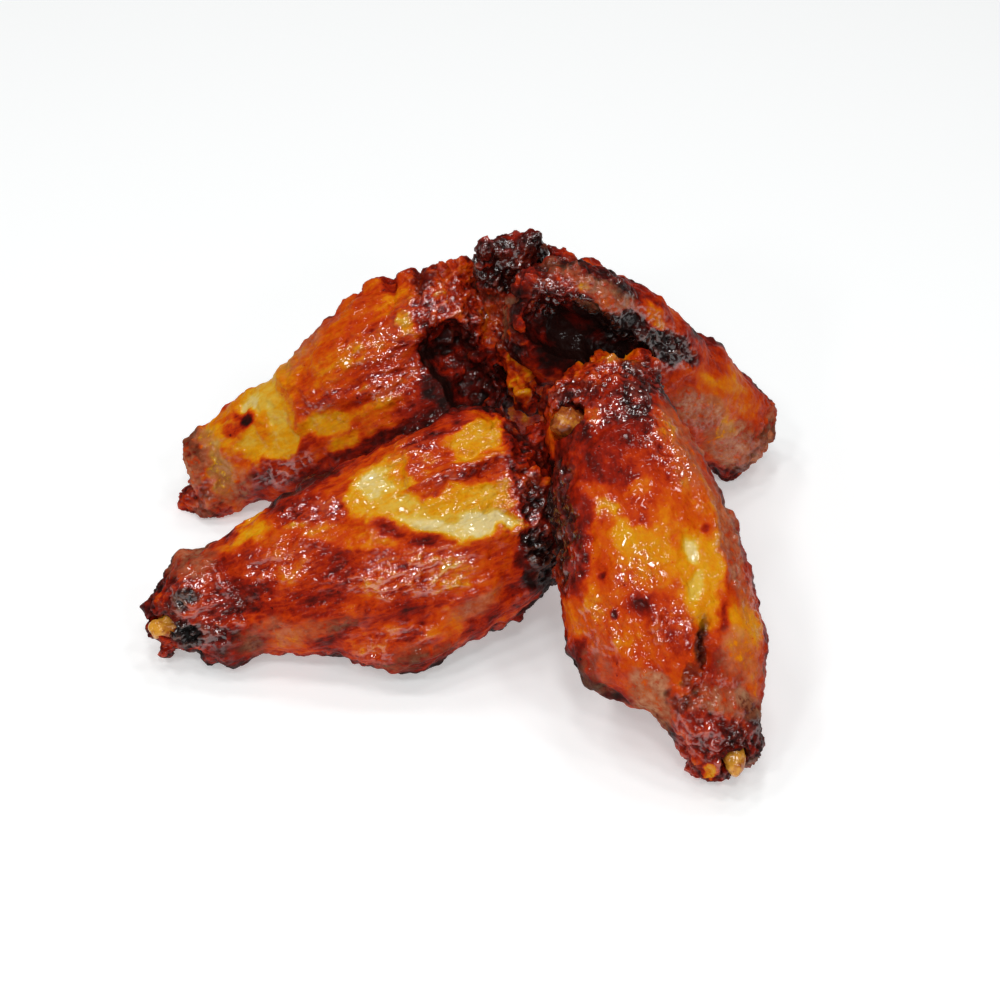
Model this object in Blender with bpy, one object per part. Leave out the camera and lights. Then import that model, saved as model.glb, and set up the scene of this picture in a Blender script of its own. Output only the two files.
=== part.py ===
"""A serving of five roasted chicken wing pieces, leaning together as they were put down.

Metres, +Z up, the tabletop at Z = 0 and the middle of the serving over the origin. Lengths in the
tables below are millimetres. Each wing is a flat: it runs from its narrow wrist end, out on the
table, to its broad elbow end, up in the middle of the heap.
"""

import math

import bmesh
import bpy
import numpy as np
from mathutils import Matrix, Vector, noise

MM = 0.001
GAP = 0.0004
RINGS = 28
AROUND = 26
FULLNESS = 2.3
END_LENGTH = 0.09
LUMP_HEIGHT = 0.9
LUMP_SPACING = 11.0
BONE_RINGS = 14
BONE_AROUND = 10
TABLE_BLOCK = 400.0
SKIN_ROUGHNESS = 0.35
BONE_ROUGHNESS = 0.45
BONE_COLOUR = (0.55, 0.26, 0.07)

# line: middle points from wrist to elbow. face_wrist, face_elbow: where the broad side looks.
# left, right: reach to the two edges, seen from the wrist with the broad side up. depth: half the
# thickness. swellings: knuckles, folds and hollows of the skin, each (place along from 0 to 1, to
# the left, to the front, spread, height), where a height under 0 is a hollow.
WINGS = {
    "wing_front_right": {
        "colour": (0.48, 0.11, 0.008),
        "line": [(53, -54, 3), (48, -45, 12), (42, -32, 22), (38, -15, 32), (33, 6, 40), (30, 22, 42)],
        "face_wrist": (-0.1, -0.55, 0.8),
        "face_elbow": (0.0, -0.55, 0.8),
        "left": [6, 8, 19, 19, 15, 10],
        "right": [7, 11, 18, 17, 13, 9],
        "depth": [7, 9, 12, 13, 11, 8],
        "swellings": [
            (0.33, 19, 0, 7, 4),
            (0.24, -16, 0, 8, 4),
            (0.02, 5, 0, 5, 1),
            (0.05, -7, 2, 5, 1),
            (0.36, -3, 12, 5, 2),
            (0.90, 11, 5, 5, 3),
            (0.93, 2, 8, 5, 2),
            (0.97, -6, 3, 5, 2),
        ],
    },
    "wing_front_left": {
        "colour": (0.43, 0.07, 0.012),
        "line": [(-64, -16, 9), (-46, -12, 13), (-28, -10, 17), (-10, -7, 20), (6, -1, 24), (19, 5, 28)],
        "face_wrist": (0.0, -0.75, 0.65),
        "face_elbow": (0.0, -0.75, 0.65),
        "left": [5, 12, 19, 23, 22, 18],
        "right": [6, 13, 17, 22, 20, 16],
        "depth": [6, 9, 12, 14, 14, 11],
        "swellings": [
            (0.10, 10, 0, 5, 3),
            (0.00, -2, 0, 4, 2),
            (0.15, -11, 2, 5, 3),
            (0.12, 2, 8, 4, 2),
            (0.52, -20, 4, 9, 4),
            (0.85, 18, 6, 8, 3),
            (0.70, 8, 13, 9, 2),
        ],
    },
    "wing_back_right": {
        "colour": (0.30, 0.07, 0.015),
        "line": [(68, 47, 6), (57, 46, 16), (45, 41, 29), (33, 37, 42), (22, 33, 51), (12, 30, 57)],
        "face_wrist": (0.1, -0.75, 0.65),
        "face_elbow": (0.0, -0.95, 0.3),
        "left": [8, 12, 15, 16, 15, 10],
        "right": [8, 11, 11, 12, 11, 9],
        "depth": [7, 10, 11, 11, 10, 8],
        "swellings": [
            (0.03, 9, 0, 5, 4),
            (0.04, -7, 0, 5, 2),
            (0.32, -11, 0, 5, 3),
            (0.48, -10, 6, 6, 3),
            (0.62, -10, 7, 6, 4),
            (0.74, -10, 7, 6, 4),
            (0.86, -10, 7, 6, 4),
            (0.98, -4, 5, 6, 3),
            (0.70, 5, 11, 8, -5),
            (0.84, 5, 10, 8, -5),
        ],
    },
    "wing_back_left": {
        "colour": (0.40, 0.09, 0.010),
        "line": [(-63, 34, 8), (-50, 36, 14), (-35, 37, 22), (-21, 38, 31), (-6, 38, 37), (7, 38, 42)],
        "face_wrist": (-0.2, -0.75, 0.65),
        "face_elbow": (0.0, -0.75, 0.65),
        "left": [6, 9, 12, 15, 17, 15],
        "right": [10, 14, 20, 26, 28, 20],
        "depth": [6, 8, 11, 13, 13, 11],
        "swellings": [
            (0.0, -12, 0, 6, 5),
            (0.00, -1, 0, 5, -3),
            (0.66, 15, 1, 6, 2),
            (0.82, 18, 2, 5, 3),
            (0.97, 14, 2, 5, 3),
            (0.86, -4, 13, 10, -6),
        ],
    },
    "wing_rear": {
        "colour": (0.12, 0.02, 0.008),
        "line": [(10, 41, 62), (11, 45, 54), (12, 50, 42), (13, 57, 28), (14, 64, 15), (14, 70, 2)],
        "face_wrist": (-1.0, 0.0, 0.0),
        "face_elbow": (-1.0, 0.0, 0.0),
        "left": [6, 9, 15, 19, 18, 12],
        "right": [6, 8, 12, 14, 14, 10],
        "depth": [6, 7, 9, 11, 12, 9],
        "swellings": [
            (0.02, 0, -5, 5, 3),
            (0.05, 3, 6, 4, 2),
            (0.40, 17, -1, 7, 3),
        ],
    },
}

# Each bone runs inside its wing and shows where it comes out, as a rounded end.
BONES = {
    "bone_front_right": {
        "wing": "wing_front_right",
        "line": [(55, -58, 6), (51, -48, 12), (44, -34, 23), (38, -14, 33), (28, 1, 41), (19, 5, 48)],
        "radius": [3.6, 3.2, 2.6, 2.6, 3.4, 4.6],
    },
    "bone_front_left": {
        "wing": "wing_front_left",
        "line": [(-65, -21, 9), (-50, -14, 12), (-32, -11, 16), (-14, -8, 19), (0, -3, 23), (12, 2, 26)],
        "radius": [3.6, 3.2, 2.6, 2.6, 3.0, 4.0],
    },
}


def clear_scene():
    for obj in list(bpy.data.objects):
        bpy.data.objects.remove(obj)


def material(node, colour, roughness):
    made = bpy.data.materials.new(node + "_surface")
    made.use_nodes = True
    shader = made.node_tree.nodes["Principled BSDF"]
    shader.inputs["Base Color"].default_value = (*colour, 1.0)
    shader.inputs["Roughness"].default_value = roughness
    shader.inputs["Metallic"].default_value = 0.0
    return made


def along(values, place):
    """The value at place, 0 to 1, on a smooth curve through evenly spaced values."""
    values = np.array(values, float)
    last = len(values) - 1
    at = min(max(place, 0.0), 1.0) * last
    low = min(int(at), last - 1)
    rest = at - low
    before = values[max(low - 1, 0)]
    start = values[low]
    end = values[low + 1]
    after = values[min(low + 2, last)]
    return 0.5 * (
        2 * start
        + (end - before) * rest
        + (2 * before - 5 * start + 4 * end - after) * rest**2
        + (3 * start - before - 3 * end + after) * rest**3
    )


def frame_at(wing, place):
    """Middle point and the along, left and front directions of a wing at a place along it."""
    step = 0.02
    middle = Vector(along(wing["line"], place))
    ahead = Vector(along(wing["line"], place + step))
    behind = Vector(along(wing["line"], place - step))
    forward = (ahead - behind).normalized()
    face = Vector(wing["face_wrist"]).lerp(Vector(wing["face_elbow"]), place)
    front = (face - forward * face.dot(forward)).normalized()
    left = front.cross(forward)
    return middle, forward, left, front


def rounded_end(place):
    """1 along the piece, falling to 0 as an ellipse does over END_LENGTH at each end."""
    near = min(place, 1 - place) / END_LENGTH
    return 1.0 if near >= 1 else math.sqrt(max(0.0, 1 - (1 - near) ** 2))


def power(value, exponent):
    return math.copysign(abs(value) ** exponent, value)


def swelling_centres(shape):
    """Where a wing's swellings and hollows lie, with their spread and height."""
    found = []
    for place, to_left, to_front, spread, height in shape["swellings"]:
        middle, _, left, front = frame_at(shape, place)
        found.append((middle + left * to_left + front * to_front, spread, height))
    return found


def stand_out(point, swellings):
    """How far the surface stands out at this point: uneven meat, and the swellings near it."""
    out = LUMP_HEIGHT * noise.noise(point / LUMP_SPACING)
    for centre, spread, height in swellings:
        out += height * math.exp(-(((point - centre).length / spread) ** 2))
    return out


def object_from(name, bm):
    bmesh.ops.recalc_face_normals(bm, faces=bm.faces[:])
    mesh = bpy.data.meshes.new(name)
    bm.to_mesh(mesh)
    bm.free()
    obj = bpy.data.objects.new(name, mesh)
    bpy.context.scene.collection.objects.link(obj)
    return obj


def surface_point(shape, swellings, place, turn):
    """The point of a wing's skin at a place along it and a turn around it."""
    middle, _, left, front = frame_at(shape, place)
    size = rounded_end(place)
    across = power(math.cos(turn), 2 / FULLNESS)
    out = power(math.sin(turn), 2 / FULLNESS)
    reach = along(shape["left"] if across > 0 else shape["right"], place)
    point = middle + left * across * reach * size + front * out * along(shape["depth"], place) * size
    # Near an end the skin swells outwards past it as well as sideways.
    inside = frame_at(shape, min(max(place, END_LENGTH), 1 - END_LENGTH))[0]
    away = (point - inside).normalized()
    return (point + away * stand_out(point, swellings)) * MM


def loft(name, shape, rings, around):
    """A closed body of rings along a line, with a point at each end."""
    swellings = swelling_centres(shape)
    turns = [math.tau * step / around for step in range(around)]
    bm = bmesh.new()
    loops = []
    for ring in range(1, rings):
        # Rings crowd towards the ends, where the surface turns over.
        place = 0.5 - 0.5 * math.cos(math.pi * ring / rings)
        points = [surface_point(shape, swellings, place, turn) for turn in turns]
        loops.append([bm.verts.new(point) for point in points])
    first = bm.verts.new(surface_point(shape, swellings, 0.0, 0.0))
    last = bm.verts.new(surface_point(shape, swellings, 1.0, 0.0))
    for step in range(around):
        following = (step + 1) % around
        bm.faces.new((first, loops[0][following], loops[0][step]))
        bm.faces.new((last, loops[-1][step], loops[-1][following]))
        for lower, upper in zip(loops, loops[1:]):
            bm.faces.new((lower[step], lower[following], upper[following], upper[step]))
    return object_from(name, bm)


def bone_shape(bone):
    """A bone in the terms of a wing: round, smooth and the same all round."""
    return {
        "line": bone["line"],
        "face_wrist": (0.0, -0.7, 0.7),
        "face_elbow": (0.0, -0.7, 0.7),
        "left": bone["radius"],
        "right": bone["radius"],
        "depth": bone["radius"],
        "swellings": [],
    }


def combine(target, tool, operation):
    """Joins the tool to the target or cuts it away, and removes the tool."""
    modifier = target.modifiers.new(operation.title(), "BOOLEAN")
    modifier.operation = operation
    modifier.object = tool
    graph = bpy.context.evaluated_depsgraph_get()
    mesh = bpy.data.meshes.new_from_object(target.evaluated_get(graph))
    target.modifiers.clear()
    target.data = mesh
    bpy.data.objects.remove(tool)


def grown(obj, distance):
    """A copy whose surface lies this far outside the object's own."""
    bm = bmesh.new()
    bm.from_mesh(obj.data)
    bm.normal_update()
    moves = [vert.normal * distance for vert in bm.verts]
    for vert, move in zip(bm.verts, moves):
        vert.co += move
    return object_from("grown", bm)


def table():
    """The block under the tabletop, which flattens what would reach below it."""
    bm = bmesh.new()
    bmesh.ops.create_cube(
        bm,
        size=TABLE_BLOCK * MM,
        matrix=Matrix.Translation((0, 0, -0.5 * TABLE_BLOCK * MM)),
    )
    return object_from("table", bm)


def finish(obj, colour, roughness):
    obj.data.shade_smooth()
    obj.data.materials.clear()
    obj.data.materials.append(material(obj.name, colour, roughness))


def centre_over_origin(objects):
    """Moves the whole serving so that the middle of its box is over the origin."""
    points = [vert.co for obj in objects for vert in obj.data.vertices]
    low = [min(point[axis] for point in points) for axis in range(2)]
    high = [max(point[axis] for point in points) for axis in range(2)]
    shift = Vector((-0.5 * (low[0] + high[0]), -0.5 * (low[1] + high[1]), 0.0))
    for obj in objects:
        obj.data.transform(Matrix.Translation(shift))


def keep_largest(obj):
    """Removes any scrap that a cut left loose beside the main body."""
    bm = bmesh.new()
    bm.from_mesh(obj.data)
    left_over = set(bm.verts)
    bodies = []
    while left_over:
        body = {left_over.pop()}
        edge = set(body)
        while edge:
            edge = {e.other_vert(v) for v in edge for e in v.link_edges} - body
            body |= edge
        left_over -= body
        bodies.append(body)
    bodies.sort(key=len)
    scraps = [vert for body in bodies[:-1] for vert in body]
    bmesh.ops.delete(bm, geom=scraps, context="VERTS")
    bmesh.ops.remove_doubles(bm, verts=bm.verts[:], dist=0.02 * MM)
    bmesh.ops.triangulate(bm, faces=bm.faces[:])
    bm.to_mesh(obj.data)
    bm.free()


def main():
    clear_scene()
    bones = {}
    for name, bone in BONES.items():
        body = loft(name, bone_shape(bone), BONE_RINGS, BONE_AROUND)
        finish(body, BONE_COLOUR, BONE_ROUGHNESS)
        bones.setdefault(bone["wing"], []).append(body)
    placed = []
    for name, wing in WINGS.items():
        body = loft(name, wing, RINGS, AROUND)
        combine(body, table(), "DIFFERENCE")
        for other in placed + bones.get(name, []):
            combine(body, grown(other, GAP), "DIFFERENCE")
        keep_largest(body)
        finish(body, wing["colour"], SKIN_ROUGHNESS)
        placed.append(body)
    centre_over_origin(placed + [body for group in bones.values() for body in group])


main()
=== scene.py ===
import itertools
from math import radians

import bpy
import mathutils
import numpy as np
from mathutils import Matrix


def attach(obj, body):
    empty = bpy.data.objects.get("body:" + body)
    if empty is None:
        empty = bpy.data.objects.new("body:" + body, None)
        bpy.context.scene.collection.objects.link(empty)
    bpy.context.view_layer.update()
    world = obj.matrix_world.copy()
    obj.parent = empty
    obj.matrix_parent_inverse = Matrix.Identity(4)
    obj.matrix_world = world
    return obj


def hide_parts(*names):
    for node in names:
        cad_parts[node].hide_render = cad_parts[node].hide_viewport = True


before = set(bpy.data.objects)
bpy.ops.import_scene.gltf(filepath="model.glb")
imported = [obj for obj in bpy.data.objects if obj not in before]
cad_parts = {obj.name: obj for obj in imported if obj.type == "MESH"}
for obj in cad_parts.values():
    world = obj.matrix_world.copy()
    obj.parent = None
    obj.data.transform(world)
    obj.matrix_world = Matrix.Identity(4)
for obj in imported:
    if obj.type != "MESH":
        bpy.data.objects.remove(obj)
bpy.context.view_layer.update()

MM = 0.001
FRONT = np.array([0.0, -0.766, 0.643])

# How finely the skin is meshed in millimetres, first while it is put together and then for its detail.
ROUGH_CELL = 0.75
FINE_CELL = 0.42
BONE_CELL = 0.5
# Points of the CAD shapes closer than this many metres are one point.
SAME_POINT = 0.00001

# Each wing's wrist end and elbow end, in millimetres.
ENDS = {
    "front_right": ((49.4, -63.9, 3), (26.4, 12.1, 42)),
    "front_left": ((-67.6, -25.9, 9), (15.4, -4.9, 28)),
    "back_right": ((65.4, 38.1, 7), (8.4, 20.1, 57)),
    "back_left": ((-65.6, 25.1, 8), (-0.6, 28.1, 42)),
    "rear": ((6.4, 31.1, 62), (10.4, 60.1, 2)),
}

# Knobs of crumpled skin and gristle, in millimetres: where each lies along the wing, across it and outwards,
# then its three radii.
KNOBS = {
    "front_left": [
        (10, 9.5, 0, 3, 2.5, 3),
        (14, -11, 1, 3, 2.5, 3),
        (9, -11, 1, 2, 2, 2),
        (7, -6.5, 2, 3.5, 3, 3),
        (8, 2, 5, 3, 2.5, 2.5),
        (3, 2.6, 3, 2, 1.6, 2),
        (2, -4, 2, 2, 1.4, 2),
        (-0.5, -3, 1, 1.6, 1.6, 2),
        (0.5, -7.5, 0, 2, 1.6, 2),
        (84, 8, 7, 3, 3, 3),
        (83, -8, 8, 3, 4, 3),
        (80, -16, 6, 3.5, 3, 3),
        (86, 7, 4, 3, 5, 4),
        (87, 1, 4, 2.6, 4, 4),
        (88.5, 9.5, 3, 3, 4, 4),
        (68, -24.5, 1, 2, 1.5, 2),
        (72, -24, 1, 1.6, 1.4, 2),
        (53, 1, 11, 3, 1.4, 1.6),
    ],
    "front_right": [
        (86, 11, 3, 3, 2.6, 3),
        (85.5, 13, 4, 1.8, 1.8, 1.8),
        (79.5, 14, 4, 1.8, 1.6, 2),
        (82.5, 8.6, 6.5, 2.2, 1.6, 2),
        (85, 11.5, 5.5, 2.2, 2.6, 2),
        (82, 13, 1, 2, 2, 2.5),
        (73, 12.5, 3, 2.5, 2, 3),
        (90, 5, 3, 3, 3, 3),
        (91, -1, 4, 3, 3, 3),
        (90, -8, 2, 3, 3.5, 3),
        (85, -9, 5, 3, 3, 3),
        (80, -8, 7, 3.5, 3, 3),
        (74, -8, 6, 3, 2.5, 3),
        (83, 0, 9, 3, 3, 2.5),
        (79, 4, 8, 2.5, 2.5, 2.5),
        (74, 3, 9, 3, 3.5, 2),
        (22, 3, 8.5, 4.5, 4.5, 2.5),
        (27, 19, 0, 2.5, 2, 2.5),
        (31, 19.5, 0, 2, 1.5, 2),
        (4, 5, 4, 2.5, 2.2, 2.5),
        (2, 2, 5, 2, 2, 2),
        (3, -6, 4, 2.5, 2.2, 2.5),
        (42, -15, -2, 5, 2, 3),
        (34, -14.6, -1, 4.5, 2, 2.4),
    ],
    "back_left": [
        (-3, -6.5, 0, 3, 2.6, 3),
        (-0.5, -8.5, 0, 3, 2.6, 3),
        (50, 17, 1, 3.5, 3, 3),
        (57.8, 18.8, 0, 3.4, 3, 3.2),
        (64.5, 17.2, 0, 3.4, 3.2, 3.6),
        (71, 15.6, 1, 3.2, 3.2, 3.6),
        (76.8, 14.6, 0, 3, 3.2, 3.4),
        (81, 12.6, -1, 2.8, 3.2, 3),
        (80, 6, 0, 3, 3.4, 3),
        (78, -1, 0, 3, 3.4, 3),
        (80, -6, 3, 3.4, 4.4, 4),
        (80, -12, 3, 3, 4, 4),
        (79.5, -17, 3, 3, 3.6, 4),
        (84, -5, 2, 2.6, 4, 4),
        (83.5, -11, 2, 2.6, 4.4, 4),
        (62, 8, 9, 3.2, 3, 2),
        (66, 11, 7, 3, 3, 2.4),
        (72, 8, 5, 3, 3, 3),
    ],
    "back_right": [
        (27.5, -11, -1, 4, 3, 3),
        (40, -11.5, 0, 3.6, 2.6, 3),
        (45, -9, 4, 5, 3, 3),
        (53, -8.5, 6, 4, 3, 3),
        (60, -8.5, 7, 4, 2.6, 3),
        (70, -9, 7, 6, 2.8, 3),
        (80, -4, 3.5, 3, 3.6, 4),
        (78, 3, 4, 3, 3.6, 3.5),
        (63, -14, -1, 5, 1.8, 3),
        (72, -13, 0, 4, 1.8, 3),
        (54, -15, -1, 3, 1.6, 3),
    ],
    "rear": [
        (-2, 4, 0, 2.6, 3.4, 3.2),
        (-1.5, -1, -1, 2.2, 3, 3),
        (-2, -5.5, 2, 2.6, 2.4, 2.6),
        (-6.4, -4.4, 2.4, 2.6, 1.6, 1.8),
        (14, -4, 6, 3, 3, 2.5),
        (10, -5, 5, 5, 1.2, 2),
    ],
}

# Hollows where the skin has drawn away, given like the knobs.
HOLLOWS = {
    "back_left": [(69, -1, 11, 6.5, 7.5, 9), (70, -10, 9, 5.5, 7, 8)],
    "back_right": [(69, 0.8, 10, 12, 7.6, 9.5), (55, 0.5, 9, 10, 5.4, 7)],
    "rear": [(2, 0.5, 6, 3, 3, 4)],
}

# Browning of the skin in patches: along, across, half length, half width, turn in degrees, how brown and how
# strongly. 0 is cream, 0.15 golden yellow, 0.35 amber, 0.55 red orange, 0.7 deep red, 0.85 mahogany and
# 1 nearly black. Some patches are painted shade rather than browning: the nearly black ones in the hollows,
# a dark line under a fold and a dark band along a lower rim.
BROWNING_AND_SHADE = {
    "front_left": [
        (12, 0, 15, 16, 0, 0.78, 1),
        (12, 8, 5, 3, 20, 0.62, 0.8),
        (26, 11, 5, 2.4, 15, 0.2, 0.9),
        (20, 9, 3, 1.5, -20, 0.3, 0.7),
        (33, 3, 14, 4, -8, 0.6, 0.7),
        (38, 14, 8, 3, 8, 0.68, 1),
        (40, 9, 5, 3, 0, 0.68, 0.9),
        (42, 5, 9, 1.6, -24, 0.36, 0.8),
        (50, 15.5, 9, 1.2, 10, 0.5, 0.8),
        (54, 10, 8, 5, 15, 0.14, 1),
        (53, 11.5, 3.8, 2.4, 20, 0.02, 1),
        (59, 13.5, 2.5, 3.5, -10, 0.24, 0.9),
        (77, 13.2, 9, 3.6, 6, 0.17, 1),
        (65, 10.8, 4.6, 4.2, -10, 0.57, 1),
        (64, 12, 2, 1.2, 40, 0.4, 0.8),
        (71, 6.6, 11, 1.7, -2, 0.58, 1),
        # Painted shadow: a dark line under the lifted fold.
        (72, 8, 12, 0.7, 1, 0.62, 1),
        (79, 10.5, 5, 0.8, 6, 0.5, 0.8),
        (68, 2, 11, 3.8, -4, 0.17, 1),
        (57, 4, 4, 2.5, -30, 0.12, 1),
        (71, -3.5, 7.5, 2.4, -8, 0.02, 1),
        (61, 0, 6, 1.2, -26, 0.04, 1),
        (52.5, 0.8, 2.4, 1.3, -15, 0.8, 1),
        (49, 0, 6, 1.2, -18, 0.36, 0.8),
        (50, -6, 12, 3, -12, 0.6, 0.8),
        (42, -9, 4, 2.5, 0, 0.44, 0.8),
        (62, -11, 5.5, 2.5, -10, 0.32, 0.9),
        (57, -5, 4, 1.5, -25, 0.38, 0.7),
        (73, -10, 8, 4, 0, 0.62, 0.9),
        (30, -6, 12, 4, -6, 0.66, 0.8),
        (36, -17, 4, 2.5, 0, 0.68, 1),
        (43, -18, 5, 3, 0, 0.48, 1),
        (57, -20, 3, 3, 0, 0.42, 0.9),
        (50, -23, 8, 2, 0, 0.62, 0.8),
        # Painted shade: the lower rim is darkened along its length.
        (46, -26, 26, 2.6, -2, 0.78, 1),
        (64, -17, 3, 3, 0, 0.62, 0.8),
        (83, 2, 4, 14, 0, 0.84, 1),
        (79, -14, 4, 7, 10, 0.9, 1),
        (84, 3, 1.5, 1.2, 0, 0.45, 0.8),
    ],
    "front_right": [
        (5, 0, 9, 10, 0, 0.8, 1),
        (5, 7, 4, 1.5, 20, 0.45, 1),
        (0, 4, 1.2, 1.2, 0, 0.2, 1),
        (15, 1, 8, 8, 0, 0.68, 1),
        (22, 3, 6, 6, 0, 0.58, 1),
        (24, 16, 7, 8, 0, 0.6, 1),
        (26, 21, 5, 3, 0, 0.76, 1),
        (31, 13, 6, 5, 0, 0.42, 0.9),
        (34, 18, 5, 3, 10, 0.36, 0.8),
        (32, 7, 3, 3, 0, 0.66, 1),
        (32, 7, 1.8, 1.8, 0, 0.82, 1),
        (43, 4, 8, 6, 20, 0.28, 1),
        (45, 7, 4, 3, 0, 0.2, 1),
        (36, -5.5, 10, 4.5, -18, 0.2, 1),
        (40, -5.4, 2.2, 1.4, 0, 0.03, 1),
        (43.2, -9, 2.8, 1.2, 30, 0.0, 1),
        (33, -4, 3, 1.4, -30, 0.08, 1),
        (25, -11, 5, 2.4, 0, 0.25, 1),
        (27, -4, 3, 2, 0, 0.22, 0.9),
        (34, -11.5, 5, 1.6, -8, 0.6, 1),
        (46, -2, 4, 3, 0, 0.4, 0.8),
        (53, 2, 6, 5, 0, 0.57, 1),
        (55, 1.2, 2, 2, 0, 0.34, 0.9),
        (50, -9, 8, 3.5, 0, 0.46, 1),
        (60, -8, 5, 2.5, 0, 0.48, 0.9),
        (53, 8.5, 2.6, 2, 40, 0.16, 1),
        (47, 10, 5, 1.6, -10, 0.56, 0.9),
        (64.5, 3, 7, 8.5, 0, 0.76, 1),
        (54, 14, 7, 2.4, -10, 0.74, 1),
        (46, 17.5, 8, 2.2, -8, 0.82, 1),
        (58, 17, 8, 3, -8, 0.82, 1),
        (66, 12, 7, 4.4, 0, 0.78, 1),
        (61, -2, 3, 4, 0, 0.62, 0.8),
        (77, 0, 10, 13, 0, 0.76, 1),
        (85, 3, 3, 3.5, 0, 0.5, 0.9),
        (75, 5, 2.5, 1.6, 20, 0.45, 0.9),
        (78, 11.5, 3, 2, 0, 0.5, 1),
        (76.5, 11.5, 1, 1.3, 0, 0.18, 1),
        (70, -8, 4, 1.8, -10, 0.42, 0.9),
        (76, -9, 3, 1.2, 0, 0.66, 1),
        (83, -2, 4, 1.5, 0, 0.6, 0.7),
        (30, -8, 1, 1, 0, 0.5, 0.8),
        (32.5, 13, 0.9, 0.8, 0, 0.84, 1),
        (18.5, 13, 0.8, 0.7, 0, 0.72, 1),
        (40, 13, 0.8, 0.7, 0, 0.7, 1),
        (48, 2, 0.8, 0.9, 0, 0.66, 1),
        (44, -9, 0.8, 0.8, 0, 0.7, 1),
    ],
    "back_left": [
        (4, 0, 7, 12, 0, 0.6, 1),
        (3, -7, 4, 4, 0, 0.52, 0.9),
        (12, 4, 5, 3.5, 0, 0.2, 1),
        (14, 7.5, 4, 1.4, 0, 0.42, 1),
        (9, -4, 2, 7, -10, 0.12, 0.9),
        (14, -2, 2.5, 2.5, 0, 0.5, 1),
        (17, 3, 3, 1.6, -10, 0.5, 1),
        (25, -2, 10, 4.6, -4, 0.14, 1),
        (28, 11, 9, 2.5, 18, 0.15, 1),
        (28, 5, 6, 5, 0, 0.12, 1),
        (21, 7.5, 2.4, 1.8, 0, 0.04, 1),
        (25.5, 3.5, 1.5, 2, 0, 0.08, 1),
        (20, 4.2, 1.6, 1.3, 30, 0.84, 1),
        (40, 6, 9, 8, 20, 0.42, 1),
        (32.5, 4, 2.4, 8, 0, 0.3, 0.7),
        (34, -1, 2, 4, -20, 0.56, 0.9),
        (15, 8, 5, 1, 10, 0.34, 0.8),
        (23, 1, 1.4, 3, -15, 0.3, 0.8),
        (39, -4, 6, 2.2, 0, 0.2, 1),
        (40, -10, 3.4, 2.6, -20, 0.28, 1),
        (42, 0.4, 5, 1.2, -4, 0.68, 1),
        (50, -3, 9, 1.2, -8, 0.62, 1),
        (56, 0, 5, 2.6, -5, 0.64, 1),
        (50, -5, 4, 0.9, 5, 0.32, 1),
        (20, -9.5, 11, 2.6, 0, 0.74, 1),
        (44, -14, 24, 3.4, 0, 0.8, 1),
        (59, -8.5, 6, 3, 8, 0.74, 1),
        (32, -8, 3, 3, 0, 0.66, 1),
        (48, 12, 4, 4, 10, 0.48, 1),
        (56, 12, 6, 5, 0, 0.58, 1),
        (60, 14, 3, 2, 0, 0.4, 0.9),
        (63, 8, 1.5, 2.2, 0, 0.2, 1),
        # Painted shade: these three patches paint the hollow at the elbow end nearly black.
        (69, -6, 7.5, 12, 0, 0.88, 1),
        (70, 0, 4, 4, 0, 0.97, 1),
        (71.5, -12, 3.4, 6, 0, 0.97, 1),
        (70, 11, 4, 5, 0, 0.66, 1),
        (72, 13, 1.6, 2.5, 0, 0.42, 0.9),
        (62, 16, 2.5, 1.5, 0, 0.36, 0.8),
        (82, -6, 1.8, 5, 0, 0.4, 1),
        (80, -14, 1.5, 4, 12, 0.36, 1),
        (84, -11, 1.6, 3.4, 0, 0.38, 1),
    ],
    "back_right": [
        (10, 4, 13, 7, 0, 0.6, 1),
        (22, -4.5, 13, 5.4, 0, 0.42, 1),
        (25, -5.5, 6, 1.8, 0, 0.3, 1),
        (30, -8.5, 5, 2, 0, 0.56, 1),
        (18, 3, 3, 2.6, 0, 0.24, 1),
        (14, 2, 2, 3, 20, 0.58, 1),
        (8, -3, 3, 4, 0, 0.6, 1),
        (38, 2, 4, 3, 0, 0.64, 1),
        (38, -4, 3, 2, 0, 0.42, 1),
        (28, -11, 4, 2.6, 0, 0.64, 1),
        (46, -6, 9, 3, 5, 0.84, 1),
        (58, -6, 6, 3, 5, 0.8, 1),
        (47, -9.5, 3, 1.3, 0, 0.52, 1),
        (52, -9.5, 3, 1.2, 0, 0.28, 1),
        (56, -11.5, 4, 1.2, 0, 0.36, 1),
        # Painted shade: these two patches paint the hollow under the ridge nearly black.
        (66, 1.5, 14, 8.6, 0, 0.97, 1),
        (52, 1, 7, 4, 0, 0.93, 1),
        (70, -9, 9, 2, 0, 0.56, 1),
        (73, -8.5, 1, 1, 0, 0.24, 1),
        (66, -12, 8, 2, 0, 0.82, 1),
        (78, -2, 3, 4, 0, 0.72, 1),
        (74, 9, 5, 3, 0, 0.74, 1),
        (76, 7, 1.5, 1.2, 0, 0.4, 0.9),
    ],
    "rear": [
        (-2, 0, 9, 12, 0, 0.93, 1),
        (9, -4, 5, 4, 0, 0.66, 1),
        (14, -5, 2.5, 3, 0, 0.48, 1),
        (28, -2, 12, 7, 0, 0.56, 1),
        (22, -4, 4, 2.4, 0, 0.3, 1),
        (42, -1, 6, 6, 0, 0.66, 1),
        (35, -4.5, 7, 1.2, 4, 0.3, 1),
        (34, -0.5, 8, 1, -4, 0.34, 1),
        (38, 3.5, 7, 1, 0, 0.36, 1),
        (62, 0, 12, 12, 0, 0.84, 1),
    ],
}
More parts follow.
